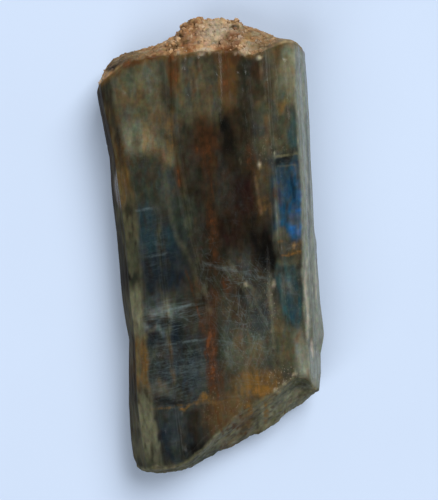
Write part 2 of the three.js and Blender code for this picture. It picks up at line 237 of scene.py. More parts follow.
def ramp(values, low, high):
    """0 below low and 1 above high, with a smooth rise between them."""
    t = np.clip((values - low) / (high - low), 0, 1)
    return t * t * (3 - 2 * t)


def wandered(places, size, reach, seed):
    """The places shifted by noise, so that what is laid down by them has ragged, natural borders."""
    shift = np.zeros_like(places)
    for axis, (octave, share) in itertools.product(range(3), OCTAVES):
        shift[:, axis] += share * smooth_noise(places, np.divide(size, octave), seed + axis + 10 * octave)
    return places + shift * reach


def patch(places, centre, half_size, turn=0, squareness=2, softness=0.5):
    """The mask of a soft-edged patch: an oval, or nearly a box where its squareness is high.

    turn is in degrees.
    """
    sine, cosine = math.sin(math.radians(turn)), math.cos(math.radians(turn))
    x, y, z = (places - centre).T
    across = np.column_stack([x * cosine + y * sine, y * cosine - x * sine, z]) / half_size
    reach = (np.abs(across) ** squareness).sum(axis=1) ** (1 / squareness)
    return 1 - ramp(reach, 1 - softness, 1 + softness)


def seam(places, points, width):
    """The mask of a line through the points, seen from above, that fades out over its width."""
    away = np.full(len(places), np.inf)
    for start, end in itertools.pairwise(np.array(points)):
        span = end - start
        offset = places[:, :2] - start
        share = np.clip(offset @ span / (span @ span), 0, 1)
        away = np.minimum(away, np.linalg.norm(offset - share[:, None] * span, axis=1))
    return 1 - ramp(away, 0, width)


LUMA = np.array((0.21, 0.72, 0.07))  # how bright each channel looks


class Coat:
    """Colours on the vertices, laid over each other through masks. A colour is a setting's name."""

    def __init__(self, tints, first, count):
        self.tints = tints
        self.colours = np.tile(np.array(getattr(tints, first), float), (count, 1))

    def over(self, mask, name, strength=1.0):
        """Lays a colour on through a mask."""
        share = np.minimum(mask * strength, 1)
        self.colours += share[:, None] * (np.array(getattr(self.tints, name)) - self.colours)

    def tinge(self, mask, name, level):
        """Lays on a colour made as bright as what is there, times a level."""
        tint = np.array(getattr(self.tints, name))
        brightness = self.colours @ LUMA
        target = tint / (tint @ LUMA) * brightness[:, None] * level
        self.colours += mask[:, None] * (target - self.colours)


def store_colours(mesh, colours):
    """Keeps each vertex's colour on the mesh, where the materials read it."""
    tone = np.column_stack([colours, np.ones(len(colours))]).astype(np.float32)
    mesh.color_attributes.new("tone", "FLOAT_COLOR", "POINT").data.foreach_set("color", tone.ravel())


# ---- The crystal's mesh ----------------------------------------------------------------------

# Cells are long and narrow along the blade, and square at the crust and the break. Each pair is a
# place along the blade and where it lies while the mesh is remeshed.
CELL_STRETCH = [(-30, -16.2), (-16, -7.8), (17.6, 5.6), (30, 18)]
WELD_GAP = 0.0001  # vertices nearer than this are one
SMOOTHING = 5  # rounds of averaging that tell edges from faces
SHARP = 0.12  # how far a sharp edge stands out from that average
REST_BAND = 0.02  # the face that it rests on is kept flat up to this height
CRUST_FROM = (15, 18)  # the crust begins between these places along the blade
BREAK_FROM = (12, 15)  # and the break between these, measured the other way
END_ROUNDS = 25  # rounds of averaging that join what belongs to an end
SPILL_ROUNDS = 70  # and those that spread the crust's stain past it
SIDE_ROUNDS = 30  # and those that tell the sides from the face
RIGHT_SHOULDER = (6.5, 9.0)  # where the crust's right and left ends turn smooth, measured across the blade
LEFT_SHOULDER = (3.4, 4.8)
LEDGE_STEPS = 3.2  # how many ledges there are for each unit of the laths' noise
PIT_DEPTH = 0.05
# Knobs in the crust, large and small, and in the break: their size and seed.
KNOBS, SMALL_KNOBS, BREAK_KNOBS = (0.95, 20), (0.42, 30), (0.6, 60)


def arrays_of(mesh):
    """A mesh's places, its normals and its edges' ends."""
    count = len(mesh.vertices)
    places = np.empty(count * 3)
    normals = np.empty(count * 3, np.float32)
    ends = np.empty(len(mesh.edges) * 2, np.int32)
    mesh.vertices.foreach_get("co", places)
    mesh.vertices.foreach_get("normal", normals)
    mesh.edges.foreach_get("vertices", ends)
    return places.reshape(-1, 3), normals.reshape(-1, 3).astype(float), ends.reshape(-1, 2)


def averaged(values, ends, rounds):
    """Each vertex's values mixed with its neighbours', a few times over."""
    count = len(values)
    first = np.concatenate([ends[:, 0], ends[:, 1]])
    other = np.concatenate([ends[:, 1], ends[:, 0]])
    neighbours = np.bincount(first, minlength=count)[:, None]
    for _ in range(rounds):
        columns = [np.bincount(first, weights=column[other], minlength=count) for column in values.T]
        values = 0.5 * values + 0.5 * np.column_stack(columns) / neighbours
    return values


def remeshed(node, cell):
    """The node's surface in even cells, as a mesh in millimetres."""
    along, squeezed = (np.array(column, float) for column in zip(*CELL_STRETCH))
    mesh = node.data.copy()
    source = np.array([v.co for v in mesh.vertices]) / MM
    faces = [tuple(face.vertices) for face in mesh.polygons]
    surface = BVHTree.FromPolygons([Vector(place) for place in source], faces)
    moved = source.copy()
    moved[:, 1] = np.interp(source[:, 1], along, squeezed)
    mesh.vertices.foreach_set("co", moved.ravel())
    blank = bpy.data.objects.new("remesh", mesh)
    bpy.context.scene.collection.objects.link(blank)
    welded = blank.modifiers.new("weld", "WELD")
    welded.merge_threshold = WELD_GAP
    modifier = blank.modifiers.new("cells", "REMESH")
    modifier.mode = "VOXEL"
    modifier.voxel_size = cell
    fine = bpy.data.meshes.new_from_object(blank.evaluated_get(bpy.context.evaluated_depsgraph_get()))
    bpy.data.objects.remove(blank)
    bpy.data.meshes.remove(mesh)
    places, _, _ = arrays_of(fine)
    places[:, 1] = np.interp(places[:, 1], squeezed, along)
    snapped = np.array([surface.find_nearest(Vector(place))[0] for place in places])
    fine.vertices.foreach_set("co", snapped.ravel())
    fine.update()
    return fine


def carve(mesh, sizes):
    """Moves the surface in and out: cleavage ridges and ledges, worn edges, the crust and the break.

    Gives each vertex's place, the way that it faces, and masks of edges, ends and sides.
    """
    places, normals, ends = arrays_of(mesh)
    facing = averaged(normals, ends, SMOOTHING)
    facing /= np.linalg.norm(facing, axis=1)[:, None]
    bulge = ((places - averaged(places, ends, SMOOTHING)) * facing).sum(axis=1)
    edge = np.clip(bulge / SHARP, -1, 1)
    ends_faced = np.column_stack([
        ramp(facing[:, 1], 0.22, 0.5) * ramp(places[:, 1], *CRUST_FROM),
        ramp(-facing[:, 1], 0.25, 0.5) * ramp(-places[:, 1], *BREAK_FROM)])
    crust, broken = ramp(averaged(ends_faced, ends, END_ROUNDS), 0.3, 0.6).T
    flank = ramp(np.abs(facing[:, 0]), 0.3, 0.7)
    blade = (1 - crust) * (1 - broken)
    gritty = crust * (1 - 0.85 * ramp(places[:, 0], *RIGHT_SHOULDER))
    gritty *= 1 - 0.6 * ramp(-places[:, 0], *LEFT_SHOULDER)

    ledges = np.floor(layered(places, "laths") * LEDGE_STEPS) / LEDGE_STEPS
    cleaved = sizes.ledges * ledges + sizes.ridges * layered(places, "ridges")
    relief = blade * cleaved * (1 + 0.6 * flank) / MM
    relief -= PIT_DEPTH * blade * ramp(layered(places, "pits"), 0.55, 0.95)
    chipping = 0.35 + ramp(layered(places, "worn edges"), 0.1, 0.8)
    relief -= sizes.edge_wear / MM * np.clip(edge, 0, 1) * chipping
    knobbly = knobs(places, *KNOBS) + 0.5 * knobs(places, *SMALL_KNOBS) - 0.8
    relief += sizes.crust_lumps / MM * gritty * knobbly
    splintered = layered(places, "splinters") + 0.7 * knobs(places, *BREAK_KNOBS) - 0.3
    relief += sizes.splinters / MM * broken * (splintered - 0.3)
    relief *= ramp(places[:, 2], 0, REST_BAND)

    carved = np.clip(places + facing * relief[:, None], *BOX_CORNERS)
    mesh.vertices.foreach_set("co", (carved * MM).ravel())
    mesh.update()
    spill = ramp(averaged(ends_faced[:, :1], ends, SPILL_ROUNDS)[:, 0], 0.03, 0.35) * (1 - crust)
    sideways = averaged(facing[:, :1], ends, SIDE_ROUNDS)[:, 0]
    masks = {"edge": edge, "crust": crust, "spill": spill, "broken": broken, "sideways": sideways}
    return carved, facing, masks


# ---- Shader nodes ----------------------------------------------------------------------------

def add(tree, kind, values=(), **settings):
    """A node of that kind with its settings, and with its sockets set or linked."""
    item = tree.nodes.new(kind)
    for name, value in settings.items():
        setattr(item, name, value)
    for name, value in dict(values).items():
        connect(tree, value, item.inputs[name])
    return item


def connect(tree, value, socket):
    """Links an output to a socket, or sets the socket to a plain value."""
    if isinstance(value, bpy.types.NodeSocket):
        tree.links.new(value, socket)
    elif socket.type == "RGBA":
        socket.default_value = (*value[:3], 1)
    else:
        socket.default_value = value


def reckon(tree, operation, *values):
    """The result of a Math node."""
    return add(tree, "ShaderNodeMath", enumerate(values), operation=operation).outputs[0]


def reckon_vector(tree, operation, *values):
    """The result of a Vector Math node: a number from a dot product, and a vector from the others."""
    item = add(tree, "ShaderNodeVectorMath", enumerate(values), operation=operation)
    return item.outputs["Value" if operation == "DOT_PRODUCT" else "Vector"]


def rise(tree, value, low, high, to_low=0, to_high=1):
    """Maps a value that goes from low to high smoothly to another range."""
    values = {"Value": value, "From Min": low, "From Max": high, "To Min": to_low, "To Max": to_high}
    return add(tree, "ShaderNodeMapRange", values, interpolation_type="SMOOTHSTEP", clamp=False).outputs[0]


def group(name, inputs, outputs, fill):
    """A shader node group with named sockets, made once. fill takes its tree and its input sockets."""
    if name in bpy.data.node_groups:
        return bpy.data.node_groups[name]
    tree = bpy.data.node_groups.new(name, "ShaderNodeTree")
    kinds = {"value": "NodeSocketFloat", "vector": "NodeSocketVector", "colour": "NodeSocketColor"}
    for way, sockets in (("INPUT", inputs), ("OUTPUT", outputs)):
        for label, kind in sockets.items():
            tree.interface.new_socket(label, in_out=way, socket_type=kinds[kind])
    entry = tree.nodes.new("NodeGroupInput")
    leaving = tree.nodes.new("NodeGroupOutput")
    for label, result in fill(tree, entry.outputs).items():
        tree.links.new(result, leaving.inputs[label])
    return tree


def use(tree, node_group, **values):
    """Places a group in a material. Words in a socket's name are joined by underscores here."""
    item = tree.nodes.new("ShaderNodeGroup")
    item.node_tree = node_group
    for name, value in values.items():
        connect(tree, value, item.inputs[name.replace("_", " ").capitalize()])
    return item.outputs


def noise(tree, inputs, output, **values):
    """A noise texture in a group, with lumps as large as the group's Size."""
    scaled = reckon_vector(tree, "DIVIDE", inputs["Place"], inputs["Size"])
    return add(tree, "ShaderNodeTexNoise", {"Vector": scaled, "Scale": 1.0, **values}).outputs[output]


def wandering_group():
    """Shifts places by noise, so that what is drawn with them has ragged, natural borders."""
    def fill(tree, inputs):
        centred = reckon_vector(tree, "SUBTRACT", noise(tree, inputs, "Color", Detail=3.0), (0.5, 0.5, 0.5))
        shift = reckon_vector(tree, "MULTIPLY", centred, inputs["Reach"])
        return {"Place": reckon_vector(tree, "ADD", inputs["Place"], shift)}
    sockets = {"Place": "vector", "Size": "vector", "Reach": "vector"}
    return group("Wandering place", sockets, {"Place": "vector"}, fill)


def hairline_group():
    """A fine straight line on the broad faces, fading out across its width and towards its ends.

    The dot products of a place with Across and Along, less their middles, are 1 at its rim and its end.
    """
    def fill(tree, inputs):
        masks = []
        for axis, solid in (("Across", 0.0), ("Along", 0.7)):
            place = reckon_vector(tree, "DOT_PRODUCT", inputs["Place"], inputs[axis])
            away = reckon(tree, "ABSOLUTE", reckon(tree, "SUBTRACT", place, inputs[axis + " middle"]))
            masks.append(rise(tree, away, solid, 1.0, 1, 0))
        return {"Mask": reckon(tree, "MULTIPLY", *masks)}
    sockets = {"Place": "vector"}
    for axis in ("Across", "Along"):
        sockets.update({axis: "vector", axis + " middle": "value"})
    return group("Hairline", sockets, {"Mask": "value"}, fill)


def hairline(tree, place, start, end, width):
    """The mask of a hairline between two points."""
    span = Vector(end) - Vector(start)
    along = span * 2 / span.length_squared
    across = Vector((-span.y, span.x)) / span.length / width
    middle = (Vector(start) + Vector(end)) / 2
    return use(
        tree, hairline_group(), place=place, across=(*across, 0), across_middle=across.dot(middle),
        along=(*along, 0), along_middle=along.dot(middle))[0]


def grain_group():
    """Noise with lumps of any length, such as those drawn out along the blade as its cleavage is."""
    def fill(tree, inputs):
        return {"Value": noise(tree, inputs, "Fac", Detail=inputs["Detail"], Roughness=0.6)}
    return group("Grain", {"Place": "vector", "Size": "vector", "Detail": "value"}, {"Value": "value"}, fill)


def tinge_group():
    """Uneven tints close to white: noise with a value of its own in each of a colour's channels."""
    def fill(tree, inputs):
        uneven = noise(tree, inputs, "Color", Detail=3.0, Roughness=0.6)
        centred = reckon_vector(tree, "SUBTRACT", uneven, (0.5, 0.5, 0.5))
        spread = reckon_vector(tree, "MULTIPLY", centred, inputs["Amount"])
        return {"Colour": reckon_vector(tree, "ADD", spread, (1.0, 1.0, 1.0))}
    return group("Tinge", {"Place": "vector", "Size": "value", "Amount": "value"}, {"Colour": "colour"}, fill)


def wisps_group():
    """Thin wandering threads, where a noise crosses its middle value, along the blade unless turned."""
    def fill(tree, inputs):
        values = {"Vector": inputs["Place"], "Angle": inputs["Turn"]}
        turned = add(tree, "ShaderNodeVectorRotate", values, rotation_type="Z_AXIS").outputs[0]
        sized = {"Place": turned, "Size": inputs["Size"]}
        level = noise(tree, sized, "Fac", Detail=4.0, Roughness=0.5, Distortion=0.6)
        away = reckon(tree, "ABSOLUTE", reckon(tree, "SUBTRACT", level, 0.5))
        return {"Mask": rise(tree, away, 0.0, inputs["Thickness"], 1, 0)}
    sockets = {"Place": "vector", "Size": "vector", "Turn": "value", "Thickness": "value"}
    return group("Wisps", sockets, {"Mask": "value"}, fill)


def wisps(tree, place, size, turn, thickness):
    """The mask of those threads. turn is in degrees."""
    return use(
        tree, wisps_group(), place=place, size=size, turn=math.radians(turn), thickness=thickness)[0]


class Paint:
    """Colours laid over each other, each through a mask."""

    def __init__(self, tree, first):
        self.tree = tree
        self.colour = first

    def over(self, mask, tint, strength=1.0, blend="MIX"):
        """Lays a colour on through a mask."""
        factor = reckon(self.tree, "MULTIPLY", mask, strength) if strength != 1.0 else mask
        mix = add(self.tree, "ShaderNodeMix", data_type="RGBA", blend_type=blend)
        for socket, value in ((mix.inputs[0], factor), (mix.inputs[6], self.colour), (mix.inputs[7], tint)):
            connect(self.tree, value, socket)
        self.colour = mix.outputs[2]

    def shade(self, level):
        """Makes the colour darker where the level is below 1, and brighter where it is above."""
        channels = {"Red": level, "Green": level, "Blue": level}
        self.over(1.0, add(self.tree, "ShaderNodeCombineColor", channels).outputs[0], blend="MULTIPLY")


def new_material(name):
    """A material with only a Principled BSDF and an output, and its tree."""
    material = bpy.data.materials.new(name)
    material.use_nodes = True
    tree = material.node_tree
    tree.nodes.clear()
    shader = tree.nodes.new("ShaderNodeBsdfPrincipled")
    tree.links.new(shader.outputs[0], tree.nodes.new("ShaderNodeOutputMaterial").inputs[0])
    return material, tree, shader


def millimetres(tree):
    """The place on the surface, in the frame's millimetres."""
    place = tree.nodes.new("ShaderNodeTexCoord").outputs["Object"]
    return reckon_vector(tree, "MULTIPLY", place, (1000, 1000, 1000))


def attribute(tree, name, output="Fac"):
    """What the vertices carry under that name."""
    return add(tree, "ShaderNodeAttribute", attribute_name=name).outputs[output]


# ---- The crystal's colours -------------------------------------------------------------------

FACE = 9.0  # height of the face that shows
SKIN = 4.5  # how deep below it the patches of colour reach
# The features of that face are placed on a drawing grid, as the camera sees it: x runs to the right
# and y down, towards the broken end. Widths and lengths are in grid steps too.
GRID_STEP = 0.12  # at the height that the camera aims at
NEARER = 1 - (FACE - AIM[2]) / CAMERA_DISTANCE  # how a step shrinks on the face, which is nearer the camera
GRID_MIDDLE = (219, 250)  # a point of the grid
GRID_PLACE = (0.588, -0.5915)  # and where it lies


def on_face(x, y):
    """The place, to a tenth of a millimetre, of a point of the drawing grid."""
    across, along = (x - GRID_MIDDLE[0]) * GRID_STEP * NEARER, (GRID_MIDDLE[1] - y) * GRID_STEP * NEARER
    x_turned = across * math.cos(LEAN) + along * math.sin(LEAN)
    y_turned = along * math.cos(LEAN) - across * math.sin(LEAN)
    return round(x_turned + GRID_PLACE[0], 1), round(y_turned + GRID_PLACE[1], 1)


def measured(steps, digits=1):
    """Grid steps in millimetres, to a tenth, or to more digits where that would be nothing."""
    size = steps * GRID_STEP
    return round(size, digits) or round(size, 2)


# Patches on that face, in the order that they are laid down: colour, strength, x, y, half width, half length
# and, for those that are turned, degrees.
TONES = [
    ("olive", 0.95, 140, 108, 28, 50), ("sage", 0.35, 134, 88, 20, 16), ("mist", 0.5, 140, 142, 17, 13),
    ("olive", 0.85, 196, 96, 25, 36), ("olive", 0.5, 198, 119, 18, 10), ("slate", 0.3, 186, 88, 12, 24),
    ("slate", 0.3, 211, 100, 8, 18), ("umber", 0.65, 166, 96, 5, 18), ("ochre", 0.85, 171, 66, 6, 26),
    ("ochre", 0.7, 228, 82, 8, 32, -2), ("olive", 0.9, 278, 96, 24, 38), ("umber", 0.5, 250, 84, 12, 32),
    ("umber", 0.45, 251, 70, 10, 12), ("chestnut", 0.6, 257, 70, 3, 11), ("sage", 0.7, 262, 74, 1.8, 11),
    ("soot", 0.6, 275, 68, 2.5, 4), ("umber", 0.4, 269, 92, 4, 22), ("sage", 0.85, 288, 82, 12, 26),
    ("mist", 0.5, 291, 74, 8, 18), ("mist", 0.85, 293, 52, 11, 10), ("olive", 0.6, 271, 52, 11, 9),
    ("teal", 0.5, 281, 99, 5, 5), ("ochre", 0.5, 279, 112, 6, 7), ("slate", 0.5, 288, 117, 6, 6),
    ("teal", 0.85, 295, 140, 6, 20), ("olive", 0.7, 268, 148, 22, 10), ("umber", 0.6, 240, 130, 16, 20),
    ("chestnut", 0.9, 209, 152, 14, 28, 4), ("umber", 0.45, 212, 140, 8, 16),
    ("umber", 0.6, 195, 136, 14, 14), ("soot", 1, 228, 149, 7, 30, 2), ("umber", 0.4, 241, 118, 8, 16),
    ("moss", 1, 146, 186, 20, 26), ("slate", 0.35, 148, 180, 14, 14), ("slate", 0.5, 168, 184, 8, 24),
    ("sage", 0.4, 170, 158, 8, 10), ("soot", 0.8, 194, 196, 10, 6), ("umber", 0.75, 198, 218, 17, 58, 4),
    ("moss", 0.9, 182, 226, 12, 30), ("sage", 0.4, 186, 226, 2.5, 5), ("lagoon", 0.5, 147, 240, 14, 30),
    ("umber", 0.95, 240, 212, 30, 62, 5), ("maroon", 0.85, 245, 200, 12, 20),
    ("maroon", 0.7, 228, 234, 10, 14), ("slate", 0.25, 225, 190, 9, 20), ("ochre", 0.28, 262, 192, 8, 26),
    # The first two soot rows here are a painted shadow: a dark diagonal of shade across the face.
    ("soot", 1, 264, 250, 13, 24, 14), ("soot", 0.7, 262, 262, 7, 10), ("olive", 0.6, 288, 246, 10, 9),
    ("umber", 0.4, 290, 246, 10, 8), ("umber", 0.6, 206, 290, 16, 46), ("slate", 0.35, 243, 268, 15, 20),
    ("olive", 0.6, 246, 330, 26, 40), ("slate", 0.7, 246, 330, 22, 36), ("moss", 0.4, 258, 345, 16, 22),
    ("umber", 0.2, 252, 305, 22, 22), ("umber", 0.3, 236, 303, 12, 26), ("umber", 0.5, 258, 300, 8, 18),
    ("navy", 0.8, 269, 321, 5, 8), ("moss", 0.7, 227, 352, 6, 14), ("chestnut", 0.7, 212, 360, 6, 60, -3),
    ("umber", 0.5, 219, 362, 3, 46, -3), ("chestnut", 0.6, 222, 425, 13, 30, -6),
    # The bevel row here paints the right bevel's reflection and the light through its edge.
    ("sage", 0.35, 246, 352, 18, 14), ("olive", 0.9, 289, 345, 16, 30), ("bevel", 0.5, 303, 360, 8, 24),
    ("veil", 0.25, 305, 371, 6, 8), ("slate", 0.6, 152, 300, 15, 8), ("slate", 0.4, 254, 312, 16, 26),
    ("soot", 0.35, 240, 296, 8, 10, -30), ("slate", 0.75, 177, 376, 31, 30),
    ("navy", 0.7, 172, 258, 20, 34, -4), ("navy", 0.5, 190, 352, 16, 14, -8),
    ("navy", 0.6, 172, 388, 28, 18, -6), ("navy", 0.35, 168, 342, 28, 42), ("moss", 0.7, 172, 445, 32, 30),
    ("navy", 0.85, 174, 442, 27, 28), ("slate", 0.4, 165, 422, 17, 10), ("umber", 0.7, 200, 432, 12, 20),
    ("olive", 0.65, 240, 415, 30, 26, 30), ("ochre", 0.45, 232, 420, 20, 20),
    ("ochre", 0.75, 257, 385, 18, 13, -4), ("moss", 0.5, 217, 440, 9, 14), ("soot", 0.6, 174, 403, 22, 4),
    # The soot row at (203, 455) is a painted shadow near the broken end.
    ("soot", 0.85, 203, 455, 16, 8, 10), ("umber", 0.4, 301, 386, 13, 6, 20), ("tan", 0.6, 315, 389, 4, 4),
    ("sage", 0.5, 257, 415, 6, 9),
]
WINDOWS = [
    ("sea", 0.95, 145, 228, 12, 14), ("sea", 0.9, 160, 243, 17, 13), ("navy", 0.95, 161, 275, 20, 18),
    ("navy", 0.9, 165, 334, 21, 13), ("lagoon", 1, 287, 203, 15, 40), ("blue", 0.9, 285, 206, 9, 30),
    ("blue", 1, 298, 205, 7, 38, -2), ("azure", 0.9, 300, 194, 4, 9), ("azure", 0.95, 298, 226, 5.5, 14),
    ("soot", 0.8, 292, 191, 2, 12), ("soot", 0.6, 283, 163, 8, 4, 6), ("chestnut", 0.6, 277, 200, 3, 10),
    ("olive", 0.7, 284, 240, 8, 6, -20), ("teal", 1, 291, 294, 12, 30), ("lagoon", 0.6, 294, 305, 6, 20),
    ("olive", 0.6, 290, 264, 10, 3.5),
]
VEILS = [
    ("veil", 0.3, 160, 313, 17, 6, -6), ("slate", 0.5, 148, 300, 12, 7), ("navy", 0.7, 188, 364, 19, 4, -10),
    ("navy", 0.7, 157, 369, 8, 3, -5), ("navy", 0.6, 173, 352, 9, 3.5), ("mist", 0.2, 160, 392, 14, 5, -8),
    ("veil", 0.3, 150, 333, 14, 2.5, -14), ("slate", 0.5, 175, 442, 5, 7), ("veil", 0.15, 288, 288, 5, 8),
    # The soot row here is part of the same painted diagonal shadow.
    ("slate", 0.4, 246, 268, 14, 8, -20), ("soot", 0.7, 272, 262, 4, 9, 8),
]
SPECKS = [
    ("bone", 0.8, 173, 61, 2, 2.5), ("bone", 0.6, 180, 39, 2, 2), ("bone", 0.8, 201, 56, 2.5, 1.5, -6),
    ("bone", 0.7, 209, 55, 2, 1), ("bone", 0.5, 215, 22, 4, 2), ("bone", 0.9, 245, 56, 4, 1.5),
    ("bone", 0.8, 249, 45, 3.5, 1.5, 10), ("bone", 0.9, 259, 60, 2.5, 1.5), ("bone", 0.8, 237, 55, 3, 1.5),
    ("tan", 0.5, 222, 54, 5, 1.5), ("bone", 0.7, 260, 167.5, 1.5, 2.5), ("bone", 0.6, 274, 157, 1, 1.5),
    ("bone", 0.6, 263, 220.6, 1, 1), ("bone", 0.7, 273, 287, 1.5, 2.5), ("bone", 0.6, 245, 287, 1.5, 1.5),
    ("bone", 0.35, 205, 317, 1, 1), ("bone", 0.45, 270, 333, 1, 1), ("bone", 0.9, 307.5, 208, 1, 2.5),
    ("bone", 0.7, 294, 377, 1.5, 2), ("bone", 0.9, 276, 394, 2.5, 1.5, -25), ("bone", 0.2, 240, 164, 1, 1.5),
    ("bone", 0.6, 285, 386, 1.5, 1.5), ("tan", 0.5, 294, 248.5, 1.5, 1.5),
    ("soot", 0.9, 135, 285.5, 2.5, 1.5),
]
# Stains there by their colour, with the same numbers from the strength on.
STAINS = {
    "rust": [
        (0.6, 228, 84, 7, 30, -2), (0.9, 171, 64, 5, 24), (0.75, 229, 57, 12, 8), (0.5, 206, 142, 10, 24),
        (0.6, 198, 152, 5, 5), (0.55, 250, 160, 5, 17), (0.65, 178, 184, 3.5, 19, 2),
        (0.65, 212, 224, 5, 25, 2), (0.6, 197, 286, 3, 9), (0.7, 275, 203, 2.5, 7), (0.45, 213, 256, 5, 24),
        (0.6, 225, 289, 5, 10), (0.4, 216, 300, 5, 12), (1, 210, 342, 2.6, 18, -8), (0.6, 203, 330, 3, 14),
        (0.75, 212, 368, 5.5, 42, -4), (0.4, 218, 404, 10, 26, -4), (0.45, 226, 418, 8, 26, -6),
        (0.6, 220, 386, 5, 17), (0.6, 252, 403, 10, 3), (0.45, 243, 424, 12, 20), (0.4, 228, 412, 10, 14),
        (0.9, 234, 433, 3.5, 5), (0.85, 132, 66, 10, 4, 10), (0.7, 152, 62, 11, 2.5, 6),
        (0.5, 118, 75, 8, 2.5),
    ],
    "amber": [
        (0.45, 168, 134, 4.5, 25), (0.35, 266, 211, 6, 8), (0.5, 297, 251, 6, 5), (0.6, 259, 388, 19, 15, -4),
        (0.85, 256, 394, 10, 7), (0.7, 269, 388, 8, 8), (0.7, 248, 413, 3, 8), (0.8, 266, 418, 2.2, 13),
        (0.6, 161, 411, 3, 2), (0.7, 168, 411, 3, 2), (0.9, 184, 407, 5, 2.5), (0.7, 197, 405, 3, 2),
        (0.8, 208, 406, 8, 4), (0.5, 283, 248, 3, 2),
    ],
}

# Lines on the same face: colour, width, strength and the points that they run through.
SEAMS = [
    ("rust", 3, 0.6, [(168, 52), (171, 78), (170, 96)]),
    ("amber", 2.4, 0.4, [(169, 120), (172, 150)]),
    ("rust", 2.4, 0.6, [(203, 150), (209, 178), (213, 205)]),
    ("rust", 2.2, 0.6, [(185, 272), (194, 300), (200, 320)]),
    ("rust", 3, 0.6, [(205, 355), (209, 380), (214, 400), (222, 440)]),
    ("amber", 2, 0.35, [(150, 412), (182, 408), (214, 405), (240, 403)]),
    ("amber", 1.4, 0.5, [(279, 261), (287, 257), (303, 256)]),
]
LINES = [
    ("sage", 4, 0.22, [(164, 170), (170, 209), (176, 237), (187, 255), (194, 272), (198, 299)]),
    ("mist", 3, 0.12, [(224, 271), (243, 290), (252, 313)]),
    ("mist", 3, 0.12, [(229, 265), (250, 292), (266, 329)]),
    ("mist", 3, 0.15, [(245, 285), (262, 300)]),
    ("tan", 2.5, 0.12, [(256, 181), (261, 216)]),
    ("mist", 4, 0.25, [(270, 281), (271, 299), (272, 316)]),
    ("mist", 3, 0.18, [(271, 320), (273, 350)]),
    ("bone", 2.5, 0.5, [(306.5, 262), (307, 300), (308, 340)]),
    ("olive", 3, 0.5, [(311, 262), (312, 300), (313, 350)]),
    ("bone", 1.6, 0.5, [(317, 265), (317.5, 300)]),
    # The next mist line is a painted highlight along the edge of the face by the right bevel.
    ("mist", 2.5, 0.4, [(302, 60), (305, 120)]),
    ("slate", 2, 0.5, [(307, 70), (309, 150), (311, 240)]),
    ("bone", 2.2, 0.5, [(313.5, 345), (314.5, 358)]),
    ("sage", 2.5, 0.4, [(180, 60), (183, 100)]),
    ("umber", 3, 0.4, [(196, 62), (200, 110)]),
    ("umber", 3, 0.4, [(263, 62), (262, 96)]),
]
CRACKS = [
    ("veil", 2.2, 0.22, [(133, 213), (153, 211.5)]),
    ("veil", 2, 0.14, [(141, 259.5), (174, 255)]),
    ("veil", 2.5, 0.3, [(148, 318), (195, 306)]),
    ("veil", 2, 0.2, [(150, 350.5), (209, 341)]),
    ("veil", 3, 0.15, [(200, 264), (272, 284)]),
    ("sage", 2.4, 0.8, [(273, 159.5), (301, 154.5)]),
    ("sage", 1.6, 0.25, [(275, 168.5), (297, 167)]),
    ("amber", 2, 0.35, [(279, 260), (303, 253)]),
]

# Where fine threads, pale grains, ripples and cool colours show there, with the same numbers.
LIMITS = {
    "threads": [
        (0.8, 246, 330, 26, 48), (0.9, 245, 283, 24, 20), (0.4, 210, 275, 12, 36), (0.3, 170, 366, 34, 34),
        (0.5, 290, 292, 8, 20), (0.1, 238, 205, 22, 34), (0.3, 137, 146, 22, 18),
    ],
    "speckled": [
        (1, 281, 382, 17, 15), (0.7, 271, 300, 5, 30), (0.6, 312, 330, 8, 60), (0.3, 246, 330, 20, 34),
        (0.4, 268, 150, 22, 14), (0.5, 243, 410, 14, 10), (0.3, 215, 400, 10, 50),
    ],
    "rippled": [
        (0.6, 176, 372, 30, 30), (0.9, 170, 318, 28, 14), (0.1, 168, 440, 12, 20), (0.3, 155, 250, 16, 30),
    ],
    "cool": [
        (0.9, 152, 235, 22, 40), (0.9, 160, 275, 26, 24), (0.9, 176, 350, 36, 62), (0.9, 288, 208, 14, 42),
        (0.9, 290, 294, 13, 30), (0.8, 166, 446, 16, 26),
    ],
}

# Patches along the left bevel: colour, middle along the blade, half length and strength.
LEFT_BEVEL = [
    ("umber", 15.0, 6.8, 0.85), ("ochre", 13.0, 5.0, 0.3), ("ochre", 7.2, 2.2, 0.4), ("olive", 1.6, 4.2, 0.9),
    ("moss", -0.4, 1.6, 0.4), ("soot", -3.6, 0.8, 0.9), ("sage", -7.6, 3.4, 0.9), ("mist", -7.0, 2.4, 0.4),
    ("ochre", -13.7, 2.9, 0.8), ("sage", -19.2, 2.6, 0.7), ("olive", -23.4, 2.6, 0.5),
    ("mist", -21.5, 3.4, 0.35),
]
CHIP = (-10.8, 7.1, 8.0), (1.0, 2.0, 2.4)  # a fresh chip on the left bevel: its centre and half size

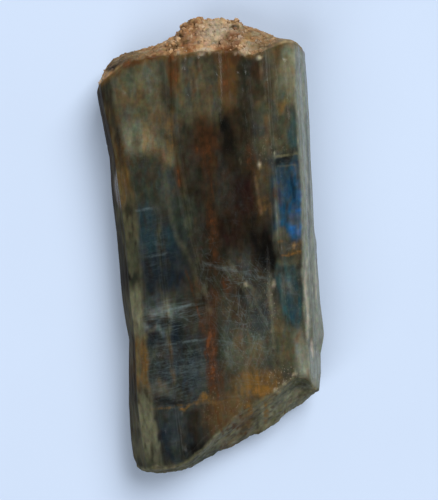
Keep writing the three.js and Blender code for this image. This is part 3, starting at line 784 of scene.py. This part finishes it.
# Patches of the crust and of the broken end: colour, strength, centre across and along the blade, half width,
# half length and, for those that are turned, degrees.
CRUST = [
    ("rust", 0.45, -0.8, 24.9, 1.1, 1.7), ("rust", 0.7, -1.2, 22.9, 0.9, 0.8),
    ("chestnut", 0.4, -1.9, 24.0, 0.6, 1.1), ("bone", 0.75, 2.5, 24.7, 2.2, 1.4),
    ("bone", 0.7, 2.1, 26.1, 0.8, 0.5), ("rust", 0.9, 4.1, 24.2, 1.0, 0.8),
    ("chestnut", 0.4, 3.3, 23.4, 1.2, 0.4), ("rust", 0.9, 3.4, 22.4, 1.2, 0.9),
    ("bone", 0.9, 0.6, 22.6, 1.1, 0.4), ("bone", 0.9, 5.4, 22.4, 0.9, 0.4),
    ("bone", 0.9, 6.1, 23.1, 0.6, 0.3), ("ochre", 0.45, 6.9, 22.8, 1.2, 1.2),
    ("olive", 0.4, 6.6, 24.6, 2.4, 0.7), ("olive", 0.6, 8.8, 22.4, 1.7, 1.7),
    ("mist", 0.95, 10.9, 21.6, 1.8, 2.1), ("rust", 0.4, -7.4, 22.0, 2.8, 0.5),
    ("ochre", 0.4, -6.0, 22.9, 2.4, 0.9), ("olive", 0.65, -8.5, 22.4, 2.6, 1.4),
    ("umber", 0.5, -9.3, 22.2, 1.2, 0.5), ("soot", 0.9, -10.0, 21.6, 0.7, 0.5),
    ("umber", 0.8, -10.7, 21.6, 0.5, 0.5),
]
BREAK = [
    ("moss", 0.7, 8.5, -17.6, 1.8, 0.9, 30), ("slate", 0.4, 6.0, -19.4, 1.0, 0.7, 30),
    ("mist", 0.5, 7.7, -18.8, 1.4, 0.7, 30), ("mist", 0.5, 4.6, -20.6, 1.2, 0.9, 30),
    ("ochre", 0.5, 1.9, -21.6, 1.0, 1.2), ("umber", 0.4, 3.2, -21.4, 0.8, 0.8, 30),
    ("ochre", 0.4, 0.4, -24.8, 1.0, 1.2), ("moss", 0.6, -3.0, -25.6, 2.4, 1.2),
]

# Tints mottled over the whole blade: their strength, how bright they are beside what they cover, and a seed.
HUES = [
    ("mist", 0.5, 1.45, 140), ("moss", 0.6, 0.75, 141), ("slate", 0.3, 1.1, 142), ("ochre", 0.35, 1.1, 143),
    ("chestnut", 0.3, 0.8, 144), ("umber", 0.5, 0.55, 145)]
WARM = ("ochre", "chestnut")  # those that leave the cool panels bare
# Tints mottled over the crust: their strength and a seed.
CRUST_HUES = [("bone", 0.6, 150), ("rust", 0.45, 151), ("umber", 0.4, 152), ("chestnut", 0.3, 153)]
# The face's patches, with the wander that each table has, its squareness and its softness.
PATCHES = [
    (TONES, "broad", 2.3, 0.6), (WINDOWS, "ragged", 4, 0.3), (VEILS, "ragged", 2, 0.8),
    (SPECKS, "little", 2, 0.9)]
BREAK_RISE = 0.8  # the share of the break's depth that is taken off for the face's patches to run on over
FRONT_FROM = (4, 7)  # the face's own marks set in between these heights
END_HEIGHT, END_REACH = 5, 7  # middle of the patches on the ends, and how far they reach up and down
CLOUD_SEEDS = range(120, 124)


def face_patch(places, x, y, wide, long, turn=0, squareness=2, softness=0.5):
    """The mask of a patch on the face that shows, placed on the drawing grid."""
    half_size = (measured(wide), measured(long), SKIN)
    return patch(places, (*on_face(x, y), FACE), half_size, turn, squareness, softness)


def strongest_patch(places, rows, softness):
    """The highest at each vertex of the masks of patches on that face, each with its strength first."""
    return np.maximum.reduce([
        strength * face_patch(places, *oval, softness=softness) for strength, *oval in rows])


def face_seam(places, points, width):
    """The mask of a line on the face that shows, placed on the drawing grid."""
    return seam(places, [on_face(*point) for point in points], measured(width, 2))


class Surface:
    """The crystal's vertices, with the masks and the wandered places that its colours are laid down by."""

    def __init__(self, places, facing, masks):
        self.places = places
        self.facing = facing
        self.masks = masks
        raised = places.copy()
        raised[:, 2] += masks["broken"] * (FACE - raised[:, 2]) * BREAK_RISE
        self.broad = wandered(raised, *WANDERS["broad"])
        self.ragged = wandered(self.broad, *WANDERS["ragged"])
        self.wavy = wandered(places, *WANDERS["wavy"])
        self.little = wandered(places, *WANDERS["little"])
        self.clouds = [1 + layered(self.ragged, "clouds", seed) for seed in CLOUD_SEEDS]
        self.mottled = 0.5 * (self.clouds[1] + self.clouds[3]) - 1
        self.front = ramp(places[:, 2], *FRONT_FROM)
        self.right = ramp(masks["sideways"] + 0.1 * (self.clouds[3] - 1), 0.2, 0.6)
        self.left = ramp(-masks["sideways"] + 0.16 * (self.clouds[0] - 1), 0.1, 0.5)
        self.chip = patch(self.ragged, *CHIP, softness=0.25)
        self.limits = {name: strongest_patch(self.broad, rows, 0.8) for name, rows in LIMITS.items()}


def paint_face(coat, surface):
    """The face's patches and tints, over the bands and hollows that cover the whole crystal."""
    coat.over(ramp(layered(surface.places, "bands"), -0.3, 0.4), "slate", 0.5)
    hollow = layered(surface.ragged, "hollows")
    coat.over(ramp(hollow, 0.15, 0.5) * (1 - surface.front), "teal", 0.6)
    coat.over(ramp(-hollow, 0.2, 0.6) * (1 - surface.front), "umber", 0.7)
    for table, wander, squareness, softness in PATCHES:
        wandering = getattr(surface, wander)
        for (name, strength, *oval), cloud in zip(table, itertools.cycle(surface.clouds)):
            mask = face_patch(wandering, *oval, squareness=squareness, softness=softness)
            coat.over(mask * cloud, name, strength)
    for name, strength, level, seed in HUES:
        warmth = 1 - surface.limits["cool"] if name in WARM else 1
        cloud = ramp(layered(surface.ragged, "hues", seed), 0.1, 0.9)
        coat.tinge(cloud * strength * warmth, name, level)


def paint_sides(coat, surface):
    """The bevels and the thin sides with their painted reflection and painted shade, the lines drawn over the
    face and them, and the chip.
    """
    right, left, clouds = surface.right, surface.left, surface.clouds
    # Painted reflection: the right bevel gets the pale bevel colour in place of the sky's reflection and
    # light through the edge.
    coat.over(right, "bevel", 0.9)
    coat.over(right * ramp(layered(surface.places, "bevel streaks"), 0.1, 0.9), "slate", 0.25)
    coat.over(right * ramp(-clouds[2], -0.9, -0.4), "olive", 0.4)
    coat.over(left, "moss", 0.85)
    for name, middle, half, strength in LEFT_BEVEL:
        away = np.abs(surface.ragged[:, 1] - middle)
        coat.over(left * (1 - ramp(away, half * 0.5, half * 1.4)) * clouds[0], name, strength)
    # Painted shade: the steepest part of the left side, turned away from the light, is darkened with umber.
    coat.over(left * ramp(-surface.facing[:, 0], 0.7, 0.9), "umber", 0.75)
    coat.over(left * ramp(surface.mottled, 0.0, 0.35), "umber", 0.7)
    coat.over(left * ramp(-surface.mottled, 0.0, 0.35), "sage", 0.35)
    flecks = layered(surface.places, "bevel flecks")
    coat.over(right * ramp(flecks, 0.5, 1.0), "bone", 0.3)
    coat.over(right * ramp(-flecks, 0.4, 1.0), "olive", 0.35)
    for name, width, strength, points in LINES:
        coat.over(face_seam(surface.wavy, points, width) * surface.front * clouds[1], name, strength)
    coat.over(surface.chip, "ochre", 0.4)
    coat.over(surface.chip * ramp(surface.mottled, -0.1, 0.3), "sage", 0.5)


def paint_end(coat, surface, rows, within, softness):
    """The patches of one end, within its mask."""
    for name, strength, x, y, wide, long, *turn in rows:
        mask = patch(surface.ragged, (x, y, END_HEIGHT), (wide, long, END_REACH), *turn, softness=softness)
        coat.over(within * mask, name, strength)


def paint_ends(coat, surface):
    """The broken end and the crust, and painted shade in the hollows of the whole crystal."""
    crust, broken, clouds = surface.masks["crust"], surface.masks["broken"], surface.clouds
    coat.over(broken, "sage", 0.65)
    paint_end(coat, surface, BREAK, broken * clouds[1], softness=0.6)
    flecks = layered(surface.places, "break flecks")
    coat.over(broken * ramp(flecks, 0.2, 0.9), "mist", 0.4)
    coat.over(broken * ramp(-flecks, 0.1, 0.7), "umber", 0.5)
    coat.over(surface.masks["spill"] * np.clip(clouds[2], 0, 1.5), "ochre", 0.5)
    coat.over(crust, "tan")
    for name, strength, seed in CRUST_HUES:
        coat.over(crust * ramp(layered(surface.places, "crust hues", seed), 0.05, 0.9), name, strength)
    paint_end(coat, surface, CRUST, crust, softness=0.7)
    # Painted shade: umber darkens the hollows and creases of the surface.
    coat.over(ramp(-surface.masks["edge"], 0.15, 0.7), "umber", 0.6)


def stain_masks(surface):
    """The masks of the rust and amber stains: patches, seams, and veins away from the face."""
    stains = {name: strongest_patch(surface.ragged, rows, 0.75) for name, rows in STAINS.items()}
    for name, width, strength, points in SEAMS:
        mask = face_seam(surface.wavy, points, width) * np.maximum(surface.front, 0.4)
        stains[name] = np.maximum(stains[name], mask * strength)
    veins = 1 - ramp(np.abs(layered(surface.ragged, "veins")), 0, 0.09)
    stains["rust"] = np.maximum(stains["rust"], (1 - surface.front) * 0.8 * veins)
    return stains


def dullness(surface):
    """How dull the surface is, from 0 to 1: most in the crust, the left bevel, the break and the steps."""
    tilt = np.abs(surface.facing[:, 1]) + 2 * np.abs(surface.facing[:, 0] - surface.masks["sideways"])
    bevel = 0.8 * surface.left * (1 - surface.chip)
    steps = 0.8 * ramp(tilt, 0.1, 0.25)
    return np.maximum.reduce([surface.masks["crust"], bevel, 0.5 * surface.masks["broken"], steps])


def paint(mesh, surface, tints):
    """Lays the crystal's colours down on its vertices, as the attributes that its material mixes."""
    coat = Coat(tints, "loam", len(surface.places))
    paint_face(coat, surface)
    paint_sides(coat, surface)
    paint_ends(coat, surface)
    store_colours(mesh, coat.colours)
    kept = {name: surface.masks[name] for name in ("edge", "crust")}
    kept.update({name: surface.limits[name] for name in ("threads", "speckled", "rippled")})
    kept.update(stain_masks(surface), dull=dullness(surface))
    for name, values in kept.items():
        mesh.attributes.new(name, "FLOAT", "POINT").data.foreach_set("value", values.astype(np.float32))


# Noise in the materials: its size across, along and through the blade, and its detail.
GRAINS = {
    "streaks": ((0.35, 3.0, 0.5), 3.0),
    "mottle": ((0.7, 1.0, 0.7), 6.0),
    "flecks": ((0.2, 0.26, 0.2), 2.0),
    "fine streaks": ((0.12, 2.5, 0.12), 3.0),
    "crust": ((0.1, 0.1, 0.1), 2.0),
}
TINGES = [(0.55, 0.45), (0.2, 0.25)]  # uneven tints: the size of their lumps and how strong they are
# Ripples and threads lie where a noise is near its middle value: its size, with how near that is for each of
# the ripples and how far each of the threads is turned, in degrees.
RIPPLES = [((3.2, 0.5, 2.0), 0.045), ((5.0, 0.9, 2.0), 0.04)]
RIPPLE_TURN = -7
THREADS = [((0.8, 7.0, 2.0), 20), ((0.8, 5.0, 2.0), -32), ((5.0, 0.9, 2.0), 8)]
THREAD_THICKNESS = 0.02
BUMP_DEPTH = 0.05


def grain(tree, place, name):
    """The noise of that name, drawn out as its size says."""
    size, detail = GRAINS[name]
    return use(tree, grain_group(), place=place, size=size, detail=detail)[0]


def stain_over(tree, base, tints, uneven):
    """Lays the rust and the amber on, dull where they are thin and bright where they are thick."""
    for name, dull, bright in (("rust", tints.chestnut, tints.rust), ("amber", tints.ochre, tints.amber)):
        stain = reckon(tree, "MULTIPLY", attribute(tree, name), uneven)
        base.over(rise(tree, stain, 0.0, 0.9), dull, 0.75)
        base.over(rise(tree, stain, 0.6, 1.4), bright, 0.45)


def draw_over(tree, base, tints, place, mottle):
    """Draws the cracks, ripples, threads and pale grains."""
    wavy = use(tree, wandering_group(), place=place, size=(1.4, 2.0, 2.0), reach=(0.6, 0.7, 0.5))[0]
    skin = reckon(tree, "SUBTRACT", 1.0, attribute(tree, "crust"))
    breaks = reckon(tree, "MULTIPLY", rise(tree, mottle, 0.34, 0.62, 0.2, 1), skin)
    for name, width, strength, points in CRACKS:
        start, end = (on_face(*point) for point in points)
        crack = hairline(tree, wavy, start, end, measured(width, 2))
        base.over(reckon(tree, "MULTIPLY", crack, breaks), getattr(tints, name), strength)
    rippled = attribute(tree, "rippled")
    for size, thickness in RIPPLES:
        ripples = wisps(tree, place, size, RIPPLE_TURN, thickness)
        base.over(reckon(tree, "MULTIPLY", ripples, rippled), tints.veil, 0.14)
    threaded = reckon(tree, "MULTIPLY", attribute(tree, "threads"), skin)
    for size, turn in THREADS:
        threads = wisps(tree, place, size, turn, THREAD_THICKNESS)
        base.over(reckon(tree, "MULTIPLY", threads, threaded), tints.veil, 0.17)
    flecks = rise(tree, grain(tree, place, "flecks"), 0.58, 0.74)
    base.over(reckon(tree, "MULTIPLY", flecks, attribute(tree, "speckled")), tints.bone, 0.4)


def crystal_material(tints):
    """The colours laid on the vertices, with fine grain, ragged stains, hairlines and faint threads."""
    material, tree, shader = new_material("kyanite_surface")
    place = millimetres(tree)
    streaks = grain(tree, place, "streaks")
    mottle = grain(tree, place, "mottle")

    base = Paint(tree, attribute(tree, "tone", "Color"))
    shades = [rise(tree, streaks, 0.25, 0.75, 0.92, 1.08), rise(tree, mottle, 0.25, 0.75, 0.76, 1.24)]
    base.shade(reckon(tree, "MULTIPLY", *shades))
    for size, amount in TINGES:
        base.over(1.0, use(tree, tinge_group(), place=place, size=size, amount=amount)[0], blend="MULTIPLY")
    unevenness = [rise(tree, mottle, 0.3, 0.7, 0.4, 1.6), rise(tree, streaks, 0.35, 0.65, 0.75, 1.25)]
    stain_over(tree, base, tints, reckon(tree, "MULTIPLY", *unevenness))
    draw_over(tree, base, tints, place, mottle)
    base.over(rise(tree, attribute(tree, "edge"), 0.3, 0.9), tints.bone, 0.08)
    connect(tree, base.colour, shader.inputs["Base Color"])

    dull = attribute(tree, "dull")
    rough = reckon(tree, "ADD", rise(tree, mottle, 0.3, 0.7, 0.1, 0.2), reckon(tree, "MULTIPLY", dull, 0.55))
    connect(tree, rough, shader.inputs["Roughness"])
    connect(tree, rise(tree, dull, 0.0, 1.0, 0.18, 0.05), shader.inputs["Specular IOR Level"])
    height = grain(tree, place, "fine streaks")
    bump = add(tree, "ShaderNodeBump", {"Strength": 0.3, "Distance": BUMP_DEPTH * MM, "Height": height})
    connect(tree, bump.outputs[0], shader.inputs["Normal"])
    shader.inputs["IOR"].default_value = 1.5
    return material


# ---- The crust's grains ----------------------------------------------------------------------

# Shares of the grains that have each colour, on the mound and on the shoulders beside it.
# The white share stands partly for quartz grains and partly for painted glints.
MOUND = {"tan": 0.3, "cream": 0.3, "ginger": 0.2, "brown": 0.14, "white": 0.06}
SHOULDER = {"tan": 0.4, "cream": 0.05, "ginger": 0.16, "brown": 0.28, "grey": 0.11}
BLEND = 0.75  # how much of a grain's colour is that of the crust round it
MOUND_SPAN = (-4.0, 9.0)  # where the mound begins and ends across the blade
SPARSE = 0.2  # how many grains the shoulders have for each one on as much of the mound
CRUSTED = 0.55  # grains sit where the crust's mask is above this

# A grain is a solid of 12 corners and 20 sides, with its corners moved.
GOLDEN = (1 + math.sqrt(5)) / 2
CORNERS = np.array([
    (-1, GOLDEN, 0), (1, GOLDEN, 0), (-1, -GOLDEN, 0), (1, -GOLDEN, 0), (0, -1, GOLDEN), (0, 1, GOLDEN),
    (0, -1, -GOLDEN), (0, 1, -GOLDEN), (GOLDEN, 0, -1), (GOLDEN, 0, 1), (-GOLDEN, 0, -1), (-GOLDEN, 0, 1)])
SIDES = np.array([
    (0, 11, 5), (0, 5, 1), (0, 1, 7), (0, 7, 10), (0, 10, 11),
    (1, 5, 9), (5, 11, 4), (11, 10, 2), (10, 7, 6), (7, 1, 8),
    (3, 9, 4), (3, 4, 2), (3, 2, 6), (3, 6, 8), (3, 8, 9),
    (4, 9, 5), (2, 4, 11), (6, 2, 10), (8, 6, 7), (9, 8, 1)])


def drawn(count, seed, ways=1):
    """Repeatable numbers from 0 to 1: a row for each thing and a column for each way."""
    index = np.arange(count)
    cells = [np.column_stack([index, index * 7 + way, index * 0]) for way in range(ways)]
    return np.column_stack([scatter(cell, seed + way) for way, cell in enumerate(cells)])


def crust_grains(crystal, crust):
    """A mesh of angular grains, half sunk in the crust of the crystal, each with its own colour."""
    places, normals, _ = arrays_of(crystal.data)
    places /= MM
    mask = np.empty(len(places), np.float32)
    crystal.data.attributes["crust"].data.foreach_get("value", mask)
    mounded = (places[:, 0] > MOUND_SPAN[0]) & (places[:, 0] < MOUND_SPAN[1])
    spots = np.flatnonzero((mask > CRUSTED) & (places[:, 0] < RIGHT_SHOULDER[1]))
    odds = np.cumsum(np.where(mounded[spots], 1.0, SPARSE))
    chosen = spots[np.searchsorted(odds, drawn(crust.count, 200)[:, 0] * odds[-1])]
    count, sides = len(chosen), len(CORNERS)
    size = drawn(count, 210)[:, 0] ** 3
    radius = (crust.smallest + (crust.largest - crust.smallest) * size) / MM

    jitter = 0.72 + 0.56 * drawn(count * sides, 220, 3).reshape(count, sides, 3)
    stretch = 0.75 + 0.6 * drawn(count, 230, 3)
    turn = np.linalg.qr(drawn(count * 3, 240, 3).reshape(count, 3, 3) - 0.5)[0]
    corners = CORNERS / np.linalg.norm(CORNERS[0]) * jitter * stretch[:, None, :] * radius[:, None, None]
    middle = places[chosen] + normals[chosen] * (radius * (0.5 * drawn(count, 250)[:, 0] - 0.6))[:, None]
    points = np.clip((corners @ turn + middle[:, None, :]).reshape(-1, 3), *BOX_CORNERS)
    faces = (SIDES[None] + sides * np.arange(count)[:, None, None]).reshape(-1, 3)
    mesh = bpy.data.meshes.new("crust")
    mesh.from_pydata(points * MM, [], faces.tolist())

    pick = drawn(count, 260)[:, 0]
    tints = np.zeros((count, 3))
    for shares, here in ((MOUND, mounded[chosen]), (SHOULDER, ~mounded[chosen])):
        kinds = np.array([tuple(getattr(crust, name)) for name in shares])
        tints[here] = kinds[np.searchsorted(np.cumsum(list(shares.values())), pick[here] * 0.999)]
    tone = np.empty(len(places) * 4, np.float32)
    crystal.data.color_attributes["tone"].data.foreach_get("color", tone)
    tints += BLEND * (tone.reshape(-1, 4)[chosen, :3] - tints)
    tints *= 0.8 + 0.4 * drawn(count, 270)
    store_colours(mesh, np.repeat(tints, sides, axis=0))
    mesh.update()
    return mesh


def grain_material():
    """Rough mineral grains, each with the colour that its vertices carry."""
    material, tree, shader = new_material("crust_grains")
    mottle = grain(tree, millimetres(tree), "crust")
    base = Paint(tree, attribute(tree, "tone", "Color"))
    base.shade(rise(tree, mottle, 0.3, 0.7, 0.75, 1.2))
    connect(tree, base.colour, shader.inputs["Base Color"])
    shader.inputs["Roughness"].default_value = 0.6
    shader.inputs["Specular IOR Level"].default_value = 0.35
    return material


# ---- Stage -----------------------------------------------------------------------------------

# Sizes, places and powers on the stage are metres and watts.
FLOOR_SIZE = 4
FLOOR_LUMPS = 0.04  # how large the floor's paler and darker stretches are
LIGHTS = [("key", (0.8, 1.0, 1.7), 1.3, 45.0), ("fill", (-0.9, -1.2, 1.5), 1.6, 24.0)]
SKY, SKY_STRENGTH = (0.9, 0.95, 1, 1), 0.18


def floor_material(tint):
    """A matt pale floor."""
    material, tree, shader = new_material("floor")
    values = {"Vector": millimetres(tree), "Scale": MM / FLOOR_LUMPS, "Detail": 3.0, "Roughness": 0.55}
    mottle = add(tree, "ShaderNodeTexNoise", values).outputs["Fac"]
    base = Paint(tree, tint)
    base.over(rise(tree, mottle, 0.3, 0.7), tuple(0.96 * c for c in tint), 0.5)
    connect(tree, base.colour, shader.inputs["Base Color"])
    shader.inputs["Roughness"].default_value = 0.9
    shader.inputs["Specular IOR Level"].default_value = 0.1
    return material


def area_light(name, place, size, power):
    """A soft square light that points at the crystal."""
    light = bpy.data.lights.new(name, "AREA")
    light.size = size
    light.energy = power
    lamp = bpy.data.objects.new(name, light)
    lamp.location = place
    lamp.rotation_euler = (-Vector(place)).to_track_quat("-Z", "Y").to_euler()
    bpy.context.scene.collection.objects.link(lamp)


class KYANITE_OT_stage(bpy.types.Operator):
    """Makes the floor, the lights, the world and the camera that looks down on the crystal"""

    bl_idname = "kyanite.stage"
    bl_label = "Stage"

    def execute(self, context):
        stage = context.scene.kyanite_stage
        bpy.ops.mesh.primitive_plane_add(size=FLOOR_SIZE)
        floor = context.object
        floor.name = "floor"
        floor.data.materials.append(floor_material(tuple(stage.floor)))
        for light in LIGHTS:
            area_light(*light)
        world = bpy.data.worlds.new("studio")
        context.scene.world = world
        world.use_nodes = True
        sky = world.node_tree.nodes["Background"].inputs
        sky["Color"].default_value = SKY
        sky["Strength"].default_value = SKY_STRENGTH
        camera = bpy.data.objects.new("camera", bpy.data.cameras.new("camera"))
        camera.data.lens = stage.lens
        camera.data.clip_start = MM
        camera.location = Vector(AIM) * MM + Vector((0, 0, stage.distance))
        camera.rotation_euler = (0, 0, -stage.roll)
        context.scene.collection.objects.link(camera)
        context.scene.camera = camera
        context.scene.view_settings.view_transform = "Standard"
        return {"FINISHED"}


class KYANITE_OT_crystal(bpy.types.Operator):
    """Makes the crystal from the CAD solid, with its carved surface and its finish"""

    bl_idname = "kyanite.crystal"
    bl_label = "Crystal"

    def execute(self, context):
        crystal = context.scene.kyanite_crystal
        mesh = remeshed(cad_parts[NODE], crystal.cell / MM)
        paint(mesh, Surface(*carve(mesh, crystal)), crystal)
        mesh.materials.clear()
        mesh.materials.append(crystal_material(crystal))
        mesh.shade_smooth()
        piece = bpy.data.objects.new("crystal", mesh)
        context.scene.collection.objects.link(piece)
        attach(piece, "root")
        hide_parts(NODE)
        return {"FINISHED"}


class KYANITE_OT_crust(bpy.types.Operator):
    """Scatters grains of rock over the crystal's crusted end"""

    bl_idname = "kyanite.crust"
    bl_label = "Crust"

    def execute(self, context):
        mesh = crust_grains(bpy.data.objects["crystal"], context.scene.kyanite_crust)
        mesh.materials.append(grain_material())
        piece = bpy.data.objects.new("crust", mesh)
        context.scene.collection.objects.link(piece)
        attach(piece, "root")
        return {"FINISHED"}


class KYANITE_PT_panel(bpy.types.Panel):
    """Lists what the add-on makes"""

    bl_idname = "KYANITE_PT_panel"
    bl_label = "Kyanite crystal"
    bl_space_type = "VIEW_3D"
    bl_region_type = "UI"
    bl_category = "Kyanite"

    def draw(self, context):
        for maker in MAKERS:
            self.layout.operator(maker.bl_idname)


MAKERS = (KYANITE_OT_crystal, KYANITE_OT_crust, KYANITE_OT_stage)
SETTINGS = {
    "kyanite_crystal": CrystalSettings, "kyanite_crust": CrustSettings, "kyanite_stage": StageSettings}


def register():
    for kind in (*SETTINGS.values(), *MAKERS, KYANITE_PT_panel):
        bpy.utils.register_class(kind)
    for name, kind in SETTINGS.items():
        setattr(bpy.types.Scene, name, PointerProperty(type=kind))


def unregister():
    for name in SETTINGS:
        delattr(bpy.types.Scene, name)
    for kind in (KYANITE_PT_panel, *reversed(MAKERS), *SETTINGS.values()):
        bpy.utils.unregister_class(kind)


def main():
    register()
    bpy.ops.kyanite.stage()
    bpy.ops.kyanite.crystal()
    bpy.ops.kyanite.crust()


if __name__ == "__main__":
    main()
